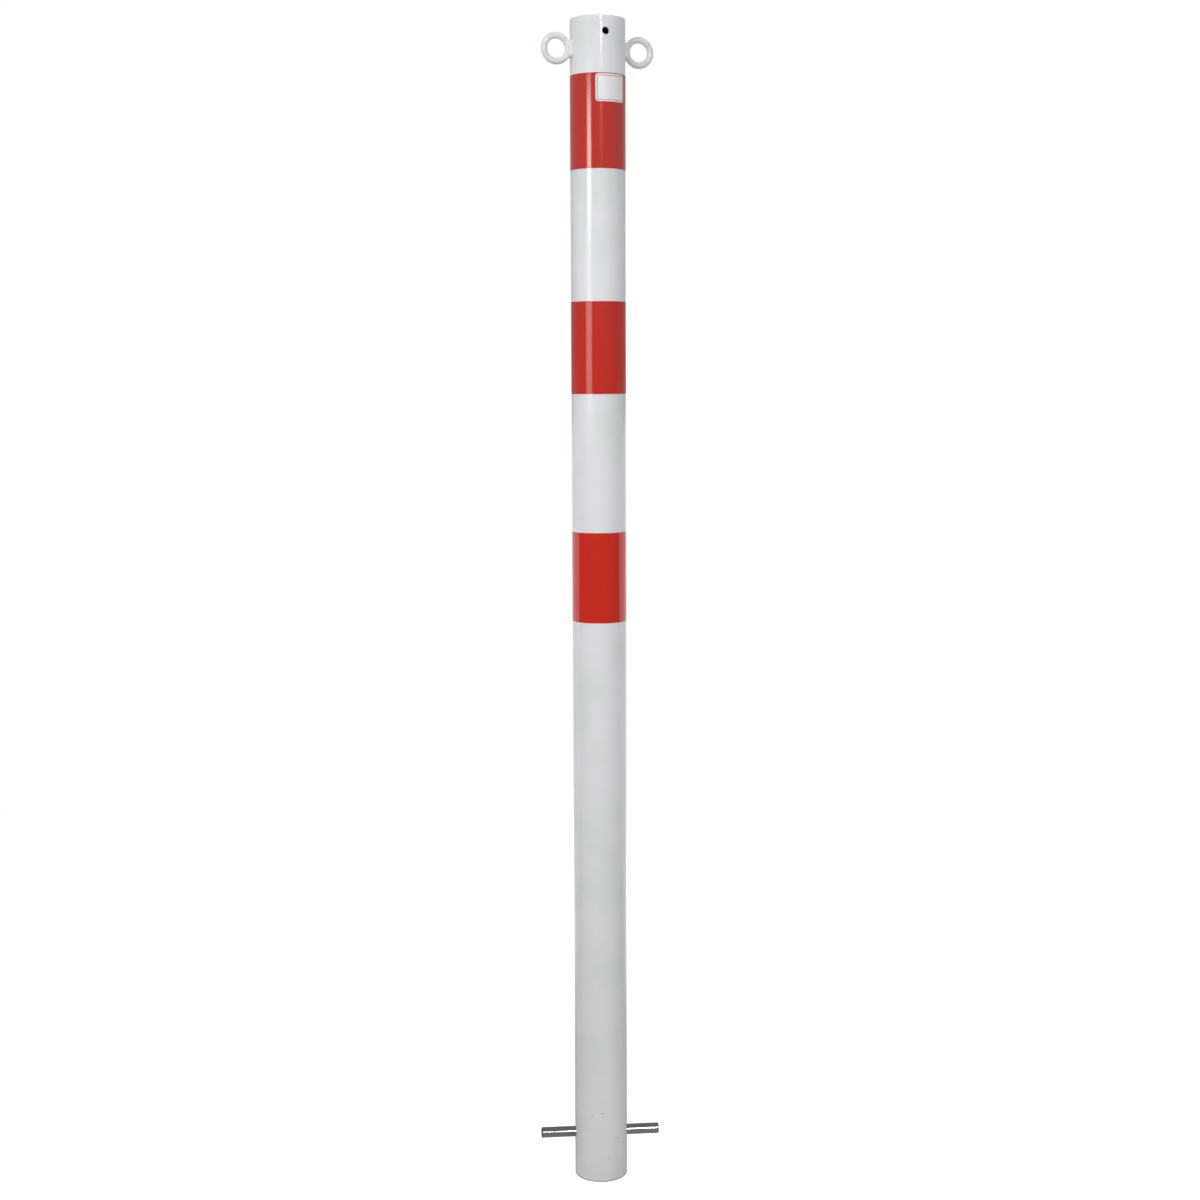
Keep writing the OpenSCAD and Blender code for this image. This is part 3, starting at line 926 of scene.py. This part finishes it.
# An eye with its weld, in one skin of coating: the ring, a row of weld ripples on each flank, and a root
# in the wall
def coatedEyeTree():
    patchThick = 0.0016
    tree = bpy.data.node_groups.new("coatedEye", "GeometryNodeTree")
    given, made = addSockets(tree, {
        "Center": ("NodeSocketVector", None),
        "Side": ("NodeSocketFloat", 1.0),
        "Ring Radius": ("NodeSocketFloat", 0.0135),
        "Bar Radius": ("NodeSocketFloat", 0.0035),
        "Line Radius": ("NodeSocketFloat", 0.0166),
        "Flank": ("NodeSocketFloat", 0.0027),
        "Sweep": ("NodeSocketFloat", 0.63),
        "Ripples": ("NodeSocketInt", 6),
        "Ripple Radius": ("NodeSocketFloat", 0.0044),
        "Jitter": ("NodeSocketFloat", 0.00014),
        "Seed": ("NodeSocketInt", 7),
        "Patch High": ("NodeSocketFloat", 0.026),
        "Patch Wide": ("NodeSocketFloat", 0.022),
        "Patch Radius": ("NodeSocketFloat", 0.0299),
        "Material": ("NodeSocketMaterial", None),
    }, {"Geometry": "NodeSocketGeometry"})
    line = addNode(tree, "GeometryNodeCurvePrimitiveCircle", (-1400, 600), {
        "Resolution": 96, "Radius": given["Ring Radius"]}).outputs[0]
    bar = addNode(tree, "GeometryNodeCurvePrimitiveCircle", (-1400, 400), {
        "Resolution": 32, "Radius": given["Bar Radius"]}).outputs[0]
    ring = addNode(tree, "GeometryNodeCurveToMesh", (-1200, 600), {
        "Curve": line, "Profile Curve": bar}).outputs[0]
    ring = addNode(tree, "GeometryNodeTransform", (-1000, 600), {
        "Geometry": ring, "Rotation": (math.radians(90), 0, 0)}).outputs[0]

    # Ripples: even indices on one flank, odd ones on the other
    count = addMath(tree, "MULTIPLY", (-1400, 100), given["Ripples"], 2.0)
    index = addNode(tree, "GeometryNodeInputIndex", (-1800, 0)).outputs[0]
    flankSide = addMath(tree, "MODULO", (-1800, -200), index, 2.0)
    flankSide = addMath(tree, "MULTIPLY", (-1600, -200), flankSide, 2.0)
    flankSide = addMath(tree, "SUBTRACT", (-1400, -100), flankSide, 1.0)
    step = addMath(tree, "MULTIPLY", (-1700, 0), index, 0.5)
    step = addMath(tree, "FLOOR", (-1600, 0), step)
    steps = addMath(tree, "SUBTRACT", (-1400, 0), given["Ripples"], 1.0)
    angle = addMath(tree, "DIVIDE", (-1200, 0), step, steps)
    angle = addMath(tree, "SUBTRACT", (-1100, 0), angle, 0.5)
    angle = addMath(tree, "MULTIPLY", (-1000, 0), angle, given["Sweep"])
    inward = addMath(tree, "COSINE", (-900, 0), angle)
    inward = addMath(tree, "MULTIPLY", (-800, 0), inward, given["Line Radius"])
    x = addMath(tree, "MULTIPLY", (-600, 0), inward, -1.0)
    y = addMath(tree, "MULTIPLY", (-600, -150), flankSide, given["Flank"])
    z = addMath(tree, "SINE", (-900, -300), angle)
    z = addMath(tree, "MULTIPLY", (-600, -300), z, given["Line Radius"])
    spot = addCombine(tree, (-400, -100), x, y, z)
    high = addCombine(tree, (-800, -500), given["Jitter"], given["Jitter"], given["Jitter"])
    low = addNode(tree, "ShaderNodeVectorMath", (-600, -500), {
        0: high, "Scale": -1.0}, operation="SCALE").outputs[0]
    stray = addNode(tree, "FunctionNodeRandomValue", (-400, -500), {
        0: low, 1: high, "Seed": given["Seed"]}, data_type="FLOAT_VECTOR").outputs[0]
    spot = addNode(tree, "ShaderNodeVectorMath", (-200, -200), {
        0: spot, 1: stray}, operation="ADD").outputs[0]
    points = addNode(tree, "GeometryNodePoints", (0, 0), {"Count": count, "Position": spot}).outputs[0]
    ball = addNode(tree, "GeometryNodeMeshIcoSphere", (0, -200), {
        "Radius": given["Ripple Radius"], "Subdivisions": 4}).outputs[0]
    weld = addNode(tree, "GeometryNodeInstanceOnPoints", (200, 0), {
        "Points": points, "Instance": ball}).outputs[0]

    # Ring and ripples are turned to face their side of the post
    both = addNode(tree, "GeometryNodeJoinGeometry", (400, 300)).outputs[0]
    tree.links.new(ring, both.node.inputs[0])
    tree.links.new(weld, both.node.inputs[0])
    facing = addMath(tree, "SUBTRACT", (0, 500), 1.0, given["Side"])
    facing = addMath(tree, "MULTIPLY", (200, 500), facing, math.pi / 2)
    facing = addCombine(tree, (400, 500), z=facing)
    eye = addNode(tree, "GeometryNodeTransform", (600, 300), {
        "Geometry": both, "Translation": given["Center"], "Rotation": facing}).outputs[0]

    # The root is a curved plate just under the wall's surface
    size = addCombine(tree, (0, 900), patchThick, given["Patch Wide"], given["Patch High"])
    plate = addNode(tree, "GeometryNodeMeshCube", (200, 900), {
        "Size": size, "Vertices X": 3, "Vertices Y": 24, "Vertices Z": 3}).outputs[0]
    flat = addSeparate(tree, (200, 700), addPosition(tree, (0, 700)))
    bend = addMath(tree, "DIVIDE", (400, 700), flat["Y"], given["Patch Radius"])
    deep = addMath(tree, "SUBTRACT", (200, 1050), given["Patch Radius"], patchThick / 2)
    deep = addMath(tree, "ADD", (400, 850), flat["X"], deep)
    x = addMath(tree, "MULTIPLY", (700, 850), deep, addMath(tree, "COSINE", (600, 850), bend))
    x = addMath(tree, "MULTIPLY", (800, 850), x, given["Side"])
    y = addMath(tree, "MULTIPLY", (700, 700), deep, addMath(tree, "SINE", (600, 700), bend))
    y = addMath(tree, "MULTIPLY", (800, 700), y, given["Side"])
    centerZ = addSeparate(tree, (600, 1050), given["Center"])["Z"]
    z = addMath(tree, "ADD", (800, 1000), flat["Z"], centerZ)
    curved = addCombine(tree, (1000, 800), x, y, z)
    plate = addNode(tree, "GeometryNodeSetPosition", (1200, 900), {
        "Geometry": plate, "Position": curved}).outputs[0]
    whole = addNode(tree, "GeometryNodeJoinGeometry", (1400, 400)).outputs[0]
    tree.links.new(eye, whole.node.inputs[0])
    tree.links.new(plate, whole.node.inputs[0])
    whole = addNode(tree, "GeometryNodeRealizeInstances", (1600, 400), {"Geometry": whole}).outputs[0]
    whole = addNode(tree, "GeometryNodeSetMaterial", (1800, 400), {
        "Geometry": whole, "Material": given["Material"]}).outputs[0]
    tree.links.new(whole, made["Geometry"])
    return tree


eyeTree = coatedEyeTree()
for side, eyeNode, weldNode, name in ((-1, "chain_eye_left", "eye_weld_left", "coatedEyeLeft"),
                                      (1, "chain_eye_right", "eye_weld_right", "coatedEyeRight")):
    low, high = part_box(eyeNode)
    center = (low + high) / 2
    eye = makeFromNodes(name, eyeTree, {
        "Center": center[:],
        "Side": float(side),
        "Ring Radius": eyes["ringRadius"],
        "Bar Radius": eyes["barRadius"],
        "Line Radius": abs(center.x) - eyes["wallRadius"] - eyes["lineOut"],
        "Flank": eyes["flank"],
        "Sweep": math.radians(eyes["sweep"]),
        "Ripples": eyes["ripples"],
        "Ripple Radius": eyes["rippleRadius"],
        "Jitter": eyes["jitter"],
        "Seed": eyes["seed"] + side,
        "Patch High": eyes["patchHigh"],
        "Patch Wide": eyes["patchWide"],
        "Patch Radius": eyes["patchRadius"],
        "Material": finishes["white_coat"],
    })
    skin = eye.modifiers.new("skin", "REMESH")
    skin.mode = "VOXEL"
    skin.voxel_size = eyes["voxel"]
    skin.use_smooth_shade = True
    soft = eye.modifiers.new("soft", "SMOOTH")
    soft.factor = 0.5
    soft.iterations = eyes["softening"]
    bakeModifiers(eye)
    eye.data.materials.clear()
    eye.data.materials.append(finishes["white_coat"])
    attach(eye, "root")
    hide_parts(eyeNode, weldNode)
    print(name, len(eye.data.vertices), "points")

for subpart in frame["record"]["subparts"]:
    for holder in nodes[subpart["node"]].material_slots:
        holder.material = finishes[subpart["material_slot"]]
print("finishes given")
